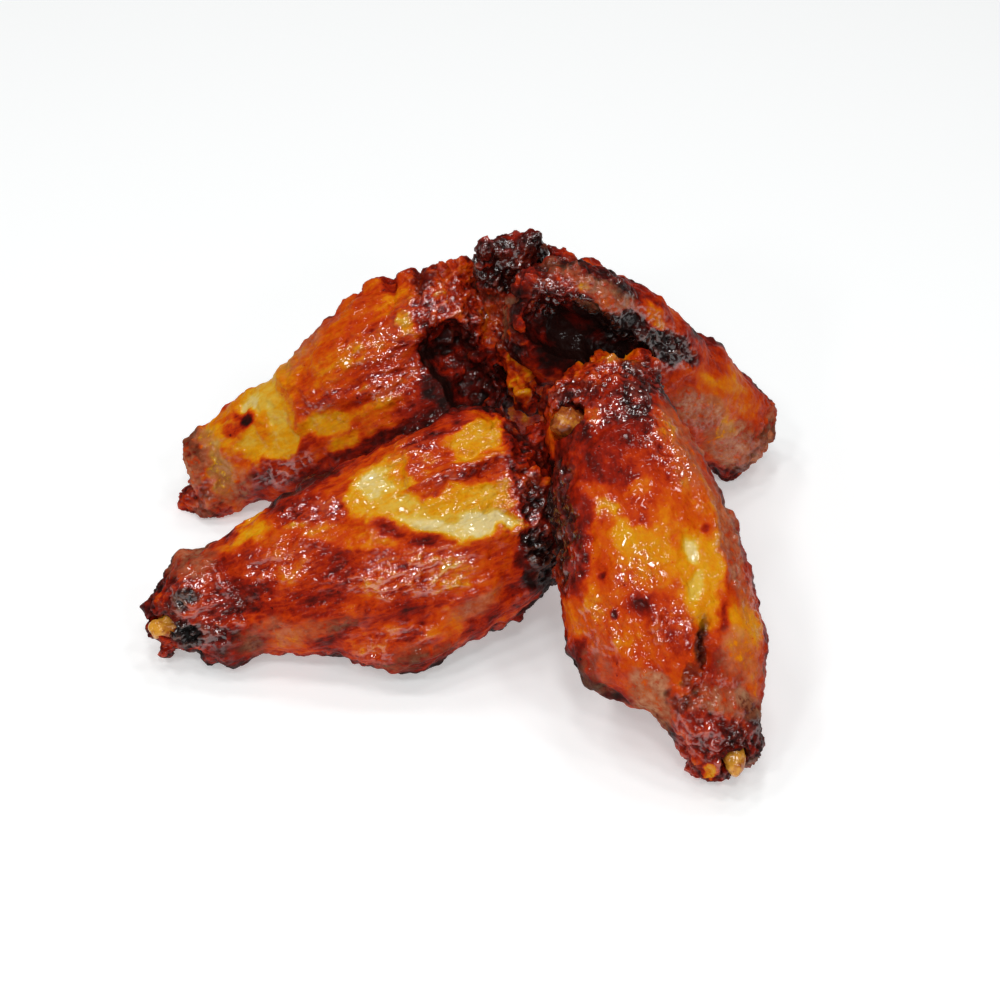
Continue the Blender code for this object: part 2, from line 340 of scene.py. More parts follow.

# Charred crust, given like the browning: along, across, half length, half width, turn, how charred. The
# patches in the hollows of the back wings are painted shade.
CHAR_AND_SHADE = {
    "front_left": [
        (8, 2, 3, 1.8, 10, 1),
        (7, -5.5, 3.6, 2.8, -20, 1),
        (12, -7, 2.4, 2.4, 0, 0.6),
        (20, -2.5, 2.5, 1.6, 0, 0.5),
        (81, -14, 3.4, 6, 8, 0.9),
        (83, -4, 2.5, 5, 0, 0.5),
        (84, 9, 2, 3, 0, 0.4),
    ],
    "front_right": [
        (21.5, -1.8, 5, 1.2, -20, 0.9),
        (15.5, 2.5, 4.4, 2.6, 0, 0.6),
        (14, 5, 3.4, 2.8, 0, 0.5),
        (50, 18.5, 9, 1.8, -8, 0.7),
        (64, 15, 6, 2.4, -8, 0.6),
        (68, -3, 4, 3, 0, 0.35),
        (76, -5, 5, 3.5, 0, 0.6),
        (84, 8, 3.5, 3, 0, 0.5),
        (85, -6, 4, 3, 0, 0.6),
        (72, 9, 4, 3, 0, 0.4),
    ],
    # The first patch lies in the hollow at the elbow end: painted shade.
    "back_left": [(68, -2, 4, 7, 0, 0.2), (74, 12, 3, 3, 0, 0.35), (66, 14, 3, 2.5, 0, 0.3)],
    "back_right": [
        (46, -6, 9, 2.8, 5, 0.8),
        (58, -6, 5, 2.8, 5, 0.7),
        # These two patches lie in the hollow under the ridge: painted shade.
        (66, 1, 9, 5, 0, 0.25),
        (52, 0, 6, 3, 0, 0.4),
        (66, -13, 8, 1.6, 0, 0.5),
        (5, 9, 3, 2, 0, 0.4),
    ],
    "rear": [(0, 0, 4, 12, 0, 0.55)],
}

# Dull skin and meat without glaze, given like the char.
DULL = {
    "front_left": [
        (12, 8.5, 5, 3, 10, 0.6),
        (28, -12, 11, 2.0, -4, 0.55),
        (22, -10, 5, 2.5, 0, 0.5),
        (64, -18.5, 5, 1.5, 10, 0.7),
        (50, -24, 8, 1.6, 0, 0.35),
    ],
    "front_right": [
        (11, -3, 2.4, 7, -15, 0.8),
        (16, 10.5, 4.4, 3, 30, 1),
        (18, -8, 5, 4, 0, 0.5),
        (40, -13, 12, 2.0, -4, 0.8),
        (64, -11, 10, 2.2, 0, 0.7),
        (25, 19, 4, 3, 0, 0.3),
    ],
    "back_left": [
        (3, 3, 6, 7, 0, 0.9),
        (9, -5, 2.5, 6, -8, 1),
        (2, -9, 4, 3, 0, 0.5),
        (38, 13.5, 7, 2, 20, 0.6),
        (12, -8, 3, 3, 0, 0.5),
    ],
    "back_right": [
        (10, 5, 12, 5, 0, 0.9),
        (29, 2, 8, 3.6, 6, 0.9),
        (68, -9, 9, 1.8, 0, 0.8),
        (4, 0, 3, 6, 0, 0.8),
    ],
    "rear": [(9, -4, 4, 3, 0, 0.15)],
}

# Where the glaze is crinkled and glitters, given like the char.
GLINTS = {
    "front_left": [
        (39, 10, 7, 3, 0, 1),
        (54, -8, 13, 4.5, -10, 1),
        (80, -3, 5, 9, 0, 1),
        (12, -1, 7, 9, 0, 0.7),
        (71, 8.4, 8, 1, 0, 1),
        (30, 3, 9, 4, 0, 0.6),
        (70, -1, 7, 2.5, -10, 0.5),
        (62, 14, 5, 3, 0, 0.6),
        (54, 11, 6, 4, 15, 0.5),
        (46, -20, 8, 3, 0, 0.6),
    ],
    "front_right": [
        (75, 0, 5, 7, 0, 1),
        (63, -8, 9, 4, 0, 1),
        (39.5, 6, 5, 4, 0, 0.6),
        (27, 3, 4, 4, 0, 0.8),
        (53, 8, 3, 3, 0, 0.6),
        (38, -13, 14, 2.4, 0, 0.8),
        (8, 0, 8, 8, 0, 0.7),
        (55, 17, 14, 3, -8, 1),
        (82, 0, 8, 13, 0, 1),
        (31, 16, 6, 4, 0, 0.6),
    ],
    "back_left": [
        (55, -2, 7, 3, 0, 0.9),
        (71, 10, 10, 5, 0, 1),
        (56, 7, 9, 4, 0, 0.8),
        (24, -9.5, 8, 2, 0, 0.8),
        (40, 1, 5, 1.6, 0, 0.7),
        (79, 3, 4, 7, 0, 0.9),
        (2, -6, 5, 4, 0, 0.5),
    ],
    "back_right": [
        (75, -4, 6, 5, 0, 1),
        (62, -9, 13, 3, 0, 1),
        (46, -6, 8, 4, 0, 1),
        (8, 6, 9, 4, 0, 0.9),
        (28, 3, 8, 3, 0, 0.7),
    ],
    "rear": [(-2, 0, 9, 10, 0, 0.8), (10, -3, 7, 5, 0, 1)],
}

# Folds and edges of skin as lines along and across the wing, with their width and height in millimetres.
FOLDS = {
    "front_left": [
        (((46, 6), (49, 12), (56, 15), (64, 15)), 1.2, 0.8),
        (((46, 6), (52, 3.5), (58, 1.5), (66, -4), (74, -7), (79, -5)), 1.3, 0.9),
        (((63, 16), (60, 12), (59.5, 8.4), (65, 8.8), (72, 9), (78, 9.2), (84, 10.6)), 1.1, 1.1),
        (((60, 6), (70, 6.6), (80, 7)), 1.1, -0.5),
        (((68, 15), (70, 12), (74, 10.6), (81, 11)), 1.0, -0.7),
        (((79, -5), (79, 2), (80, 8), (83, 14)), 1.4, 1.0),
        (((70, 15), (76, 16.5), (83, 16)), 0.8, 0.5),
        (((30, 7), (40, 3), (52, -3), (60, -8)), 0.9, 0.5),
        (((40, -2), (46, -6), (56, -11), (66, -14)), 1.0, 0.6),
        (((24, 1), (36, -3), (48, -9), (60, -15)), 0.9, 0.45),
        (((20, -8), (34, -10), (48, -14), (62, -16), (74, -15)), 1.2, 0.8),
        (((22, 6), (32, 4), (40, 6)), 0.8, 0.4),
        (((34, -19), (42, -23), (52, -25), (60, -23)), 1.4, 0.9),
        (((10, 10), (16, 6), (18, -1), (15, -9)), 1.2, 0.8),
    ],
    "front_right": [
        (((12, 8), (14, 1), (12, -8)), 1.3, -1.0),
        (((18, 8), (26, 7.5), (28, 3), (26, -2), (18, -2.5)), 0.9, -0.7),
        (((14, 0), (19, -2), (24, -3.4), (28, -4)), 1.1, -1.4),
        (((28, -2), (38, -1), (44, -4)), 0.9, 0.5),
        (((44, 16), (54, 13), (62, 11)), 1.2, 0.8),
        (((30, -9), (40, -11), (52, -11), (64, -9)), 1.2, 0.9),
        (((64, 9), (68, 4), (70, -3), (68, -9)), 1.3, 0.8),
        (((20, 21), (30, 22), (42, 20)), 1.2, 0.7),
        (((36, 10), (42, 12), (50, 11)), 0.8, 0.4),
    ],
    "back_left": [
        (((8, 9), (9, 2), (8, -5), (9, -11)), 1.4, -0.9),
        (((30, 13), (33, 6), (33, -1), (30, -6)), 1.2, 0.8),
        (((14, -6), (24, -6), (34, -7)), 1.2, 0.7),
        (((36, 14), (34, 6), (38, 1), (48, -2), (58, -2)), 1.0, 0.6),
        (((44, -6), (52, -5), (60, -6)), 0.9, 0.5),
        (((40, 14), (46, 15), (54, 16)), 1.4, 0.8),
        (((61, 22), (61.4, 17), (60.5, 12)), 0.9, -1.3),
        (((67.8, 20), (68, 15), (67, 10)), 0.9, -1.4),
        (((74, 19), (74, 13), (73, 8)), 0.9, -1.4),
    ],
    "back_right": [
        (((62, -5), (70, -4.5), (77, -4)), 1.5, 1.2),
        (((40, 0), (30, 6), (22, 8)), 1.0, 0.6),
        (((36, -5), (40, 0), (42, 4)), 1.2, 0.8),
        (((12, -2), (16, 5), (22, 5)), 0.9, 0.5),
    ],
    "rear": [(((5, -2), (14, -3), (24, -1)), 1.0, 0.8), (((5, -6), (14, -6), (26, -6)), 1.0, 0.7)],
}

# How brown each wing is on the whole, away from its patches, and how stringy its skin looks.
GENERAL = {
    "front_left": (0.6, 1.0),
    "front_right": (0.5, 0.35),
    "back_left": (0.5, 0.8),
    "back_right": (0.6, 0.3),
    "rear": (0.68, 0.6),
}


# ---------- lumps and cells, which shape and colour the skin ----------

# The number of random values along each side of the block that repeats.
LATTICE = 32
# What brings the lumps to a range of about -1 to 1.
LUMP_HEIGHT = 1.7
# How much lower each finer layer of roughness is than the one before.
LAYER_SHARE = 0.55
CREST_SHARPNESS = 2.2
slopes = np.random.default_rng(11).normal(size=(LATTICE, LATTICE, LATTICE, 3))
slopes /= np.linalg.norm(slopes, axis=-1, keepdims=True)
scatter = np.random.default_rng(12).uniform(0.0, 1.0, (LATTICE, LATTICE, LATTICE, 3))


def lumps(points, size, seed):
    """Smooth random lumps from about -1 to 1, one about every size millimetres."""
    place = points / size + np.array([3.7, 9.1, 5.3]) * seed
    cell = np.floor(place).astype(int)
    part = place - cell
    ease = part**3 * (part * (part * 6 - 15) + 10)
    total = np.zeros(len(points))
    for corner in itertools.product((0, 1), repeat=3):
        index = (cell + corner) % LATTICE
        slope = slopes[index[:, 0], index[:, 1], index[:, 2]]
        share = np.prod(np.where(corner, ease, 1 - ease), axis=1)
        total += share * np.einsum("ij,ij->i", slope, part - corner)
    return total * LUMP_HEIGHT


def rough(points, size, seed, layers=3):
    """Lumps on lumps, each layer half the size of the one before."""
    return sum(lumps(points, size / 2**k, seed + k) * LAYER_SHARE**k for k in range(layers))


def creases(points, size, seed, layers=2):
    """Sharp crests between soft hollows, 0 to 1."""
    total = 0
    for k in range(layers):
        away = np.abs(lumps(points, size / 2**k, seed + k)) * CREST_SHARPNESS
        total = total + (1 - np.minimum(1, away)) * 0.5**k
    return total / sum(0.5**k for k in range(layers))


def cells(points, size, seed):
    """Distance to the nearest of many scattered points, one to each size millimetres, counted in sizes."""
    place = points / size + np.array([5.1, 2.3, 8.9]) * seed
    cell = np.floor(place).astype(int)
    nearest = np.full(len(points), 9.0)
    for corner in itertools.product((-1, 0, 1), repeat=3):
        index = (cell + corner) % LATTICE
        centre = cell + corner + scatter[index[:, 0], index[:, 1], index[:, 2]]
        nearest = np.minimum(nearest, np.linalg.norm(place - centre, axis=1))
    return nearest


def ramp(value, low, high):
    """0 below low, 1 above high and a smooth climb between."""
    part = np.clip((value - low) / (high - low), 0, 1)
    return part * part * (3 - 2 * part)


# ---------- mesh work ----------


def only(piece):
    """Selects the piece and nothing else."""
    bpy.ops.object.select_all(action="DESELECT")
    piece.select_set(True)
    bpy.context.view_layer.objects.active = piece


def edit(piece, *steps):
    """Runs edit-mode steps on all of the piece."""
    only(piece)
    bpy.ops.object.mode_set(mode="EDIT")
    bpy.ops.mesh.select_all(action="SELECT")
    for step in steps:
        step()
    bpy.ops.object.mode_set(mode="OBJECT")


def modify(piece, kind, **settings):
    """Adds a modifier and applies it."""
    only(piece)
    modifier = piece.modifiers.new(kind.title(), kind)
    for name, value in settings.items():
        setattr(modifier, name, value)
    bpy.ops.object.modifier_apply(modifier=modifier.name)


def remesh(piece, cell):
    """Makes one closed skin of even small faces round all of the piece."""
    only(piece)
    piece.data.remesh_voxel_size = cell * MM
    bpy.ops.object.voxel_remesh()


def copy_of(node, name):
    """A closed copy of a CAD node's shape under a new name."""
    piece = bpy.data.objects.new(name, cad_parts[node].data.copy())
    bpy.context.scene.collection.objects.link(piece)
    piece.data.materials.clear()
    edit(piece, lambda: bpy.ops.mesh.remove_doubles(threshold=SAME_POINT))
    return piece


def join(pieces):
    """Makes one object of several."""
    if len(pieces) == 1:
        return pieces[0]
    bpy.ops.object.select_all(action="DESELECT")
    for piece in pieces:
        piece.select_set(True)
    bpy.context.view_layer.objects.active = pieces[0]
    bpy.ops.object.join()
    return pieces[0]


class Wing:
    """One wing while it is shaped. Its points are measured along it from the wrist, across and outwards."""

    def __init__(self, side, seed):
        self.side = side
        self.seed = seed
        self.brown, self.stringy = GENERAL[side]
        self.wrist, elbow = (np.array(end, float) for end in ENDS[side])
        along = elbow - self.wrist
        self.length = np.linalg.norm(along)
        along = along / self.length
        outward = FRONT - (FRONT @ along) * along
        outward /= np.linalg.norm(outward)
        self.turn = np.stack([along, np.cross(outward, along), outward])
        self.piece = copy_of("wing_" + side, "skin_" + side)

    def world(self, point):
        return (self.wrist + np.array(point) @ self.turn) * MM

    def balls(self, sizes):
        """Rounded lumps placed by their distances along, across and outwards, as one object."""
        made = []
        for along, across, outward, *radii in sizes:
            bpy.ops.mesh.primitive_ico_sphere_add(subdivisions=3, radius=1)
            ball = bpy.context.object
            spread = np.diag(radii) @ self.turn * MM
            where = self.world((along, across, outward))
            points = np.array([v.co for v in ball.data.vertices]) @ spread + where
            ball.data.vertices.foreach_set("co", points.ravel())
            made.append(ball)
        return join(made)

    def assemble(self):
        """Puts the knobs on, takes the hollows out and meshes the whole finely."""
        piece = join([self.piece, self.balls(KNOBS[self.side])])
        remesh(piece, ROUGH_CELL)
        if self.side in HOLLOWS:
            hollow = self.balls(HOLLOWS[self.side])
            remesh(hollow, ROUGH_CELL)
            modify(piece, "BOOLEAN", operation="DIFFERENCE", solver="MANIFOLD", object=hollow)
            bpy.data.objects.remove(hollow)
        modify(piece, "SMOOTH", factor=0.5, iterations=4)
        remesh(piece, FINE_CELL)
        modify(piece, "SMOOTH", factor=0.5, iterations=3)
        piece.data.materials.clear()
        self.piece = piece
        self.read()

    def read(self):
        """Measures where the surface is and which way it faces."""
        mesh = self.piece.data
        mesh.update()
        points = np.empty(len(mesh.vertices) * 3)
        mesh.vertices.foreach_get("co", points)
        normals = np.empty(len(mesh.vertices) * 3)
        mesh.vertices.foreach_get("normal", normals)
        self.points = (points.reshape(-1, 3) / MM - self.wrist) @ self.turn.T
        self.normals = normals.reshape(-1, 3) @ self.turn.T

    def push(self, amount):
        """Moves the surface outwards by amount, in millimetres, but never through what it lies on."""
        self.points = self.points + self.normals * np.asarray(amount)[:, None]
        placed = (self.points @ self.turn + self.wrist) * MM
        placed[:, 2] = np.maximum(placed[:, 2], 0.0)
        self.piece.data.vertices.foreach_set("co", placed.ravel())
        self.read()

    def settle(self):
        """Random shifts that make the outlines of patches ragged, worked out once."""
        seed = self.seed
        shift = [rough(self.points, 5.0, seed + 20 + k * 7, 4) * 1.5 for k in range(2)]
        self.ragged = np.stack(shift, axis=1)
        self.front = ramp(self.normals[:, 2], -0.45, 0.0)

    def patch(self, along, across, length, width, turn):
        """How much each point of the front lies in a ragged oval: 1 well inside and 0 well outside."""
        fray = min(1.0, min(length, width) / 2.5)
        away = self.points[:, :2] - (along, across) + self.ragged * fray
        c, s = np.cos(radians(turn)), np.sin(radians(turn))
        down = (away[:, 0] * c + away[:, 1] * s) / length
        over = (away[:, 1] * c - away[:, 0] * s) / width
        edge = min(0.6, 1.1 / min(length, width) ** 0.9)
        return (1 - ramp(np.hypot(down, over), 1 - edge * 0.6, 1 + edge)) * self.front

    def fold(self, line, width):
        """How much each point of the front lies on a fold that follows the line and thins out at its ends."""
        here = self.points[:, :2] + self.ragged * 0.5
        total = 0.0
        best = np.full(len(here), 99.0)
        share = np.zeros(len(here))
        spans = [np.subtract(b, a) for a, b in zip(line, line[1:])]
        whole = sum(np.linalg.norm(span) for span in spans)
        for start, span in zip(line, spans):
            part = np.clip((here - start) @ span / (span @ span), 0, 1)
            away = np.linalg.norm(here - start - part[:, None] * span, axis=1)
            near = away < best
            best[near] = away[near]
            share[near] = (total + part[near] * np.linalg.norm(span)) / whole
            total += np.linalg.norm(span)
        taper = ramp(share, -0.02, 0.2) * (1 - ramp(share, 0.8, 1.02))
        return np.exp(-((best / width) ** 2)) * (0.25 + 0.75 * taper) * self.front

    def masks(self):
        """Where the skin is browned, charred and dull, each 0 to 1, with painted shade in some patches and at
        the rims, and how finely crinkled it is.
        """
        seed, points = self.seed, self.points
        tone = self.brown + rough(points, 13, seed + 40, 4) * 0.16
        tone = tone + np.maximum(0, creases(points, 9, seed + 44) - 0.62) * 0.3
        for along, across, length, width, turn, value, strength in BROWNING_AND_SHADE[self.side]:
            share = self.patch(along, across, length, width, turn) * strength
            tone = tone + (value - tone) * share
        char = ramp(rough(points, 12, seed + 50, 4), 0.42, 0.75) * 0.8 * (1 - self.front)
        for along, across, length, width, turn, value in CHAR_AND_SHADE[self.side]:
            char = np.maximum(char, self.patch(along, across, length, width, turn) * value)
        char = char * ramp(char + rough(points, 3, seed + 54) * 0.5, 0.1, 0.55)
        dull = ramp(rough(points, 15, seed + 60, 3), 0.15, 0.55) * 0.7 * (1 - self.front)
        for along, across, length, width, turn, value in DULL[self.side]:
            dull = np.maximum(dull, self.patch(along, across, length, width, turn) * value)
        streaks = rough(points * (0.35, 1, 1), 5, seed + 46, 4) * 0.13
        # Painted shade: the tone is made darker where the skin turns away from its outward face, at its rims
        # and undersides.
        painted_rim_shade = 1 - ramp(self.normals[:, 2], 0.05, 0.6)
        tone = tone + painted_rim_shade * ramp(tone, 0.2, 0.45) * 0.22
        self.tone = np.clip(tone + streaks * (0.25 + 0.75 * ramp(tone, 0.05, 0.4)), 0, 1)
        self.char = np.clip(char, 0, 1)
        self.dull = np.clip(dull * (1 - self.char), 0, 1)
        glints = ramp(rough(points, 8, seed + 70, 3), -0.1, 0.4) * (0.9 - 0.7 * self.front)
        for along, across, length, width, turn, value in GLINTS[self.side]:
            glints = np.maximum(glints, self.patch(along, across, length, width, turn) * value)
        pale = 1 - ramp(self.tone, 0.12, 0.34)
        self.crisp = np.clip(glints * (1 - 0.6 * pale) * (1 - 0.4 * self.dull) + self.char * 0.5, 0, 1)

    def sculpt(self):
        """Folds, sunken bare places, wrinkles along the wing, goose bumps and burnt crust."""
        seed = self.seed
        self.settle()
        self.masks()
        rim = 1 - ramp(np.abs(self.normals[:, 2]), 0.15, 0.6)
        relief = rough(self.points, 10, seed + 1, 2) * 0.6
        relief = relief + rough(self.points, 4.4, seed + 12, 3) * (0.25 + 0.55 * rim)
        for line, width, height in FOLDS[self.side]:
            relief = relief + self.fold(line, width) * height
        relief = relief - (1 - ramp(self.tone, 0.02, 0.3)) * self.front * 0.8
        along = self.points[:, 0]
        ends = ramp(-along, -12, -3) + ramp(along, self.length - 13, self.length - 3)
        crust = np.maximum(self.char, 0.85 * ends)
        grains = 1 - ramp(cells(self.points, 3.8, seed + 5), 0.0, 0.65)
        grains = grains * (0.25 + 0.75 * ramp(lumps(self.points, 7, seed + 33), -0.4, 0.4))
        relief = relief + (grains - 0.25) * crust * 1.7
        self.tone = self.tone + (0.8 - self.tone) * 0.5 * ramp(ends, 0.3, 1.0) * ramp(self.tone, 0.35, 0.6)
        bits = ramp(lumps(self.points, 3.0, seed + 31), 0.38, 0.6) * crust * ramp(self.tone, 0.5, 0.7)
        self.tone = self.tone - bits * 0.24 * (1 - self.char) ** 2
        burnt = ramp(rough(self.points, 6, seed + 35, 3), -0.3, 0.3)
        self.char = np.maximum(self.char, 0.55 * burnt * ramp(ends, 0.1, 0.8) * ramp(self.tone, 0.4, 0.7))
        self.push(relief)

        stretched = self.points * (0.3, 1, 1) + rough(self.points, 8, seed + 6)[:, None] * 1.2
        wrinkles = creases(stretched, 3.0, seed + 7) - 0.4
        crinkles = creases(self.points, 2.4, seed + 9) - 0.4
        bumps = 1 - ramp(cells(self.points, 2.6, seed + 2), 0.0, 0.55)
        bumpy = ramp(rough(self.points, 14, seed + 8, 2), -0.1, 0.4)
        plain = 0.3 + 0.7 * ramp(self.tone, 0.1, 0.3)
        smooth = 1 - 0.6 * self.dull
        fine = wrinkles * (0.35 + 0.4 * self.crisp) * (0.3 + 0.7 * self.stringy)
        fine = (fine + crinkles * self.crisp * 0.5) * plain * smooth
        fine = fine + bumps * (bumpy * 0.18 * plain + self.dull * 0.6) + (grains - 0.25) * crust * 0.3
        fine = fine + (creases(self.points, 2.0, seed + 4) - 0.4) * crust * 0.8
        self.crest = np.clip(0.45 + fine * 1.1, 0, 1)
        self.push(fine)
        only(self.piece)
        bpy.ops.object.shade_smooth()
        for name in ("tone", "char", "dull", "crisp", "crest"):
            attribute = self.piece.data.attributes.new(name, "FLOAT", "POINT")
            attribute.data.foreach_set("value", getattr(self, name).astype(np.float32))


# ---------- finishes ----------


class Wire:
    """A number on its way through a finish. It adds, subtracts and multiplies as numbers do."""

    def __init__(self, finish, socket):
        self.finish = finish
        self.socket = socket

    def sum(self, operation, first, second):
        return self.finish.put("ShaderNodeMath", {"operation": operation}, {0: first, 1: second})

    def __add__(self, other):
        return self.sum("ADD", self, other)

    def __sub__(self, other):
        return self.sum("SUBTRACT", self, other)

    def __rsub__(self, other):
        return self.sum("SUBTRACT", other, self)

    def __mul__(self, other):
        return self.sum("MULTIPLY", self, other)

    __radd__ = __add__
    __rmul__ = __mul__


class Finish:
    """A material that is put together node by node."""

    def __init__(self, name):
        self.material = bpy.data.materials.new(name)
        self.material.use_nodes = True
        self.tree = self.material.node_tree
        self.tree.nodes.clear()

    def put(self, kind, settings=(), inputs=(), output=0):
        """Adds a node, sets it and then its inputs, and gives the output that is asked for."""
        node = self.tree.nodes.new(kind)
        for name, value in dict(settings).items():
            if name == "stops":
                stops = node.color_ramp.elements
                for _ in value[2:]:
                    stops.new(0.5)
                for stop, (place, colour) in zip(stops, value):
                    stop.position = place
                    stop.color = colour
            else:
                setattr(node, name, value)
        for name, value in dict(inputs).items():
            if isinstance(value, Wire):
                self.tree.links.new(value.socket, node.inputs[name])
            else:
                node.inputs[name].default_value = value
        return Wire(self, node.outputs[output]) if node.outputs else None

    def read(self, name):
        return self.put("ShaderNodeAttribute", {"attribute_name": name}, output="Fac")

    def place(self, shift=(0, 0, 0), turn=(0, 0, 0), stretch=1):
        """Where on the piece, shifted, turned to lie along it and drawn out along it."""
        position = self.put("ShaderNodeTexCoord", output="Object")
        inputs = {"Vector": position, "Location": shift, "Rotation": turn, "Scale": (stretch, 1, 1)}
        return self.put("ShaderNodeMapping", {"vector_type": "TEXTURE"}, inputs)

    def grain(self, place, size, detail=3, roughness=0.55):
        """Soft random lumps, 0 to 1, of about that size in millimetres."""
        inputs = {"Vector": place, "Scale": 1 / (size * MM), "Detail": detail, "Roughness": roughness}
        return self.put("ShaderNodeTexNoise", {}, inputs)

    def threads(self, place, size):
        """Thin crests, 0 to 1, about that many millimetres apart."""
        wave = self.grain(place, size, 2, 0.5) * 2 - 1
        away = self.put("ShaderNodeMath", {"operation": "ABSOLUTE"}, {0: wave})
        return 1 - self.rise(away, 0.0, 0.34)

    def rise(self, value, low, high):
        """0 below low, 1 above high and a smooth climb between."""
        inputs = {"Value": value, "From Min": low, "From Max": high}
        return self.put("ShaderNodeMapRange", {"interpolation_type": "SMOOTHSTEP"}, inputs)

    def colours(self, value, stops):
        return self.put("ShaderNodeValToRGB", {"stops": stops}, {"Fac": value})

    def blend(self, share, first, second):
        settings = {"data_type": "RGBA", "clamp_factor": True}
        return self.put("ShaderNodeMix", settings, {0: share, 6: first, 7: second}, 2)


def shade(red, green, blue):
    """A paint colour, given as 0 to 255, as the light that it sends back."""
    part = np.array([red, green, blue]) / 255
    light = np.where(part <= 0.04045, part / 12.92, ((part + 0.055) / 1.055) ** 2.4)
    return (*light.tolist(), 1.0)


SKIN_COLOURS = [
    (0.00, shade(228, 206, 142)),
    (0.07, shade(222, 182, 66)),
    (0.15, shade(222, 151, 6)),
    (0.27, shade(218, 120, 2)),
    (0.40, shade(206, 82, 2)),
    (0.54, shade(192, 55, 4)),
    (0.68, shade(150, 27, 5)),
    (0.82, shade(90, 15, 8)),
    (0.94, shade(34, 13, 10)),
]
MEAT_COLOURS = [(0.3, shade(116, 50, 30)), (0.5, shade(164, 94, 60)), (0.7, shade(208, 156, 116))]
# Crust colours from black to pale tan: partly ash, and partly painted shade in the pits and painted highlight
# on the crests.
CRUST_AND_SHEEN_COLOURS = [
    (0.40, shade(8, 4, 4)),
    (0.56, shade(28, 12, 10)),
    (0.69, shade(90, 48, 34)),
    (0.82, shade(164, 116, 88)),
]


# The thin glaze, which mirrors the lamps more strongly than plain water or fat would.
GLAZE_IOR = 2.1
GLAZE_ROUGHNESS = 0.08
SKIN_ROUGHNESS = 0.5
# What lies under the glaze hardly mirrors anything.
BARE_SPECULAR = 0.05


def glazed_skin(name, shift, turn, stringy):
    """Roasted skin under a shiny glaze, browned, charred and dull where the wing says so, with painted shade
    and light that follow its fine relief.
    """
    finish = Finish(name)
    place = finish.place(shift)
    strands = finish.threads(finish.place(shift, turn, 3.5), 1.3)
    tone, char, dull, crisp, crest = (finish.read(k) for k in ("tone", "char", "dull", "crisp", "crest"))
    broad = finish.grain(place, 4.5, 3)
    small = finish.grain(place, 1.5, 4, 0.6)
    fine = finish.grain(place, 0.6, 3, 0.6)
    mottling_and_relief_shade = (broad - 0.5) * 0.16 + (small - 0.5) * (0.34 - stringy * 0.1 + crisp * 0.05)
    mottling_and_relief_shade = mottling_and_relief_shade + (fine - 0.5) * (0.1 + crisp * 0.1)
    # Painted shade and light: the skin is painted darker in the valleys of its fine relief and strands and
    # lighter on their crests.
    mottling_and_relief_shade = mottling_and_relief_shade + (0.45 - crest) * 0.32 - (strands - 0.4) * 0.1 * stringy
    mottling_and_relief_shade = mottling_and_relief_shade * (1 - finish.rise(tone, 0.75, 0.95) * 0.6)
    mottled_and_shaded_tone = tone + mottling_and_relief_shade * (0.3 + finish.rise(tone, 0.05, 0.4) * 0.7)
    specks = finish.rise(finish.grain(place, 1.0, 2), 0.66, 0.74) * finish.rise(broad, 0.45, 0.6)
    mottled_and_shaded_tone = mottled_and_shaded_tone + specks * 0.2 * finish.rise(tone, 0.08, 0.3)
    skin = finish.colours(mottled_and_shaded_tone, SKIN_COLOURS)
    meat = finish.colours(broad * 0.5 + small * 0.5, MEAT_COLOURS)
    # The crust is painted black in its pits and paler on its crests: partly painted shade and painted
    # highlight.
    crust = finish.colours(crest * 0.35 + small * 0.4 + fine * 0.25, CRUST_AND_SHEEN_COLOURS)
    colour = finish.blend(dull * 0.8 * finish.rise(small, 0.3, 0.5), skin, meat)
    colour = finish.blend(char * finish.rise(char + small, 0.6, 0.95), colour, crust)
    crinkles = finish.grain(finish.place(shift, turn, 1 + stringy * 1.6), 0.72, 1, 0.4)
    height = finish.grain(place, 1.9, 2, 0.4) * 1.5 + strands * 0.12 * stringy
    height = height + crinkles * (0.15 + crisp * 1.2)
    bump = finish.put("ShaderNodeBump", {}, {"Height": height, "Strength": 1.0, "Distance": 0.45 * MM})
    pooled = finish.rise(crinkles + crest * 0.4, 0.58, 0.8)
    edge = finish.put("ShaderNodeLayerWeight", {}, {"Blend": 0.5}, "Facing")
    pale = 1 - finish.rise(tone, 0.1, 0.3)
    coat = crisp * (0.06 + pooled) + pale * (0.04 + pooled * 0.24)
    coat = (0.015 + coat) * (1 - dull * 0.4) * (1 - char * 0.45)
    coat = coat * (1 - edge * edge * 0.8)
    surface = finish.put(
        "ShaderNodeBsdfPrincipled",
        {},
        {
            "Base Color": colour,
            "Roughness": SKIN_ROUGHNESS + dull * 0.2,
            "Coat Weight": coat,
            "Coat Roughness": GLAZE_ROUGHNESS,
            "Coat IOR": GLAZE_IOR,
            "Normal": bump,
            "Specular IOR Level": BARE_SPECULAR,
            "Subsurface Weight": 0.03,
            "Subsurface Radius": (1.0, 0.35, 0.12),
            "Subsurface Scale": 0.0025,
        },
    )
    finish.put("ShaderNodeOutputMaterial", {}, {"Surface": surface})
    return finish.material


# Below the first height, in metres, a bone is at its most golden, and above the second it is plain tan.
BONE_FOOT = (0.015, 0.03)


